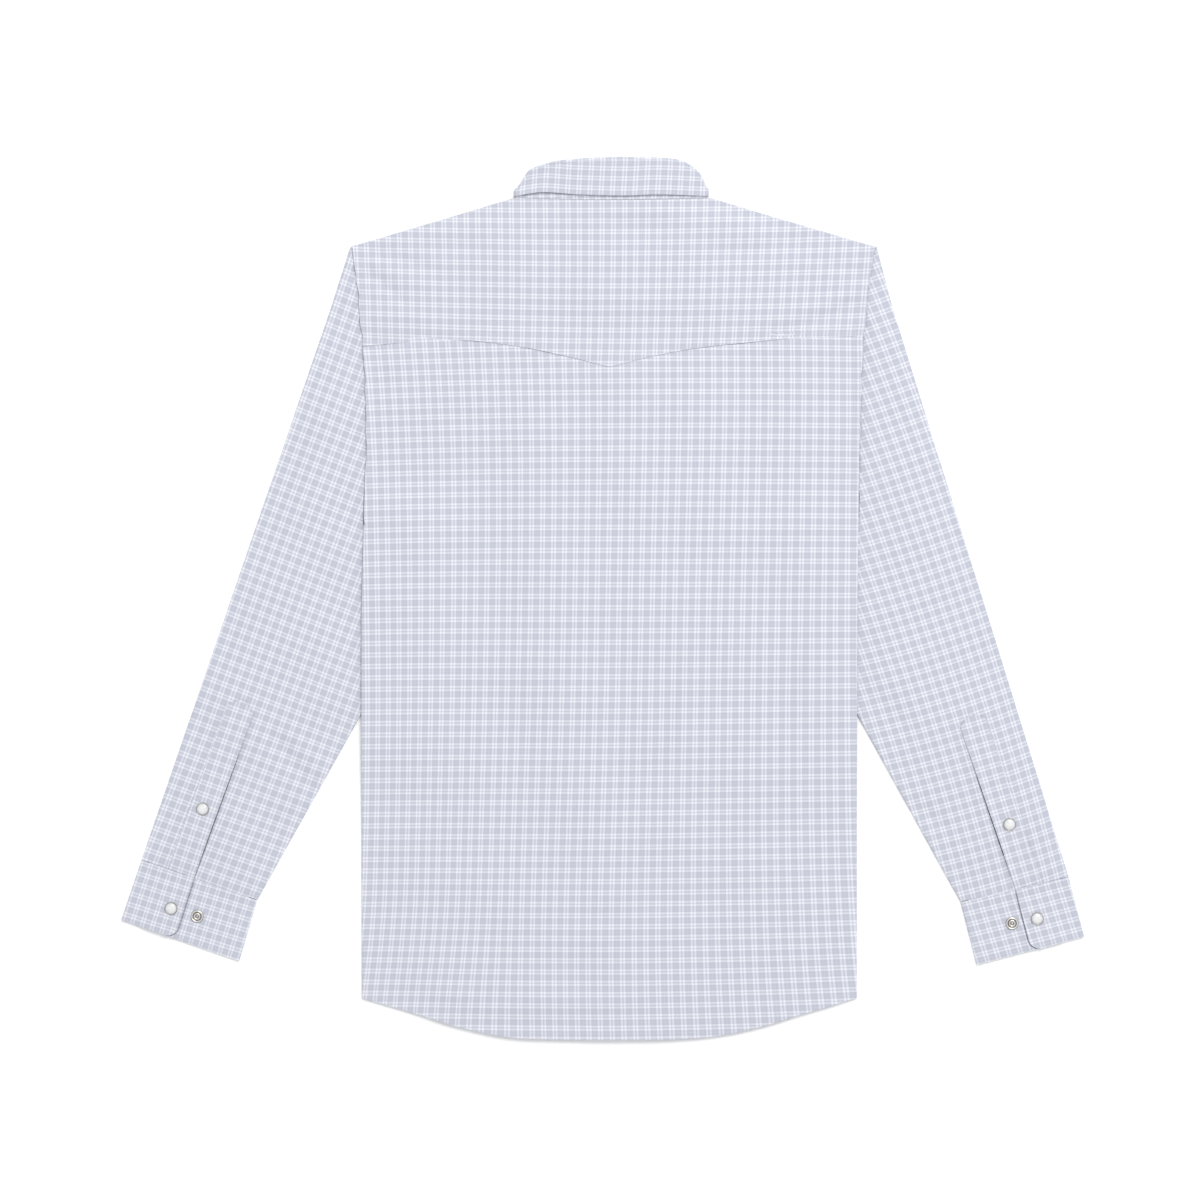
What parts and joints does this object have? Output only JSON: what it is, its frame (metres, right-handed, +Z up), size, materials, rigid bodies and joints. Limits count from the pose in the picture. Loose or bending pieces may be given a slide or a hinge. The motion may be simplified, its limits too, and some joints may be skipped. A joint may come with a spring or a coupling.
{
  "type": "western snap shirt",
  "caption": "Long-sleeved checked western shirt laid flat face down, with a pointed back yoke, turned-down collar, tower plackets, open cuffs and round snaps.",
  "frame": {"origin": "on the floor, under the middle of the shirt's outline", "axes": "+X towards the right cuff, the wearer's right as the shirt lies face down; +Y from the hem to the collar; +Z up from the floor to the back of the shirt"},
  "size_m": [0.8864, 0.8124, 0.0096],
  "materials": {
    "check_cotton": "lightweight woven cotton in a small grey-lilac and white check, matte, pressed",
    "snap_pearl": "pearlescent white domed insert in a thin dark metal rim",
    "snap_metal": "nickel-plated pressed snap ring, slightly dulled"
  },
  "bodies": {
    "root": {"back": "check_cotton", "back_yoke": "check_cotton", "front_left": "check_cotton", "front_right": "check_cotton", "front_placket": "check_cotton", "collar_stand": "check_cotton", "collar_fall": "check_cotton", "front_snap_1": "snap_pearl", "front_snap_2": "snap_pearl", "front_snap_3": "snap_pearl", "front_snap_4": "snap_pearl", "front_snap_5": "snap_pearl", "front_snap_6": "snap_pearl", "front_snap_7": "snap_pearl", "sleeve_left": "check_cotton", "sleeve_placket_left": "check_cotton", "cuff_left": "check_cotton", "placket_snap_left": "snap_pearl", "cuff_snap_left": "snap_pearl", "cuff_stud_left": "snap_metal", "sleeve_right": "check_cotton", "sleeve_placket_right": "check_cotton", "cuff_right": "check_cotton", "placket_snap_right": "snap_pearl", "cuff_snap_right": "snap_pearl", "cuff_stud_right": "snap_metal"}
  },
  "joints": []
}
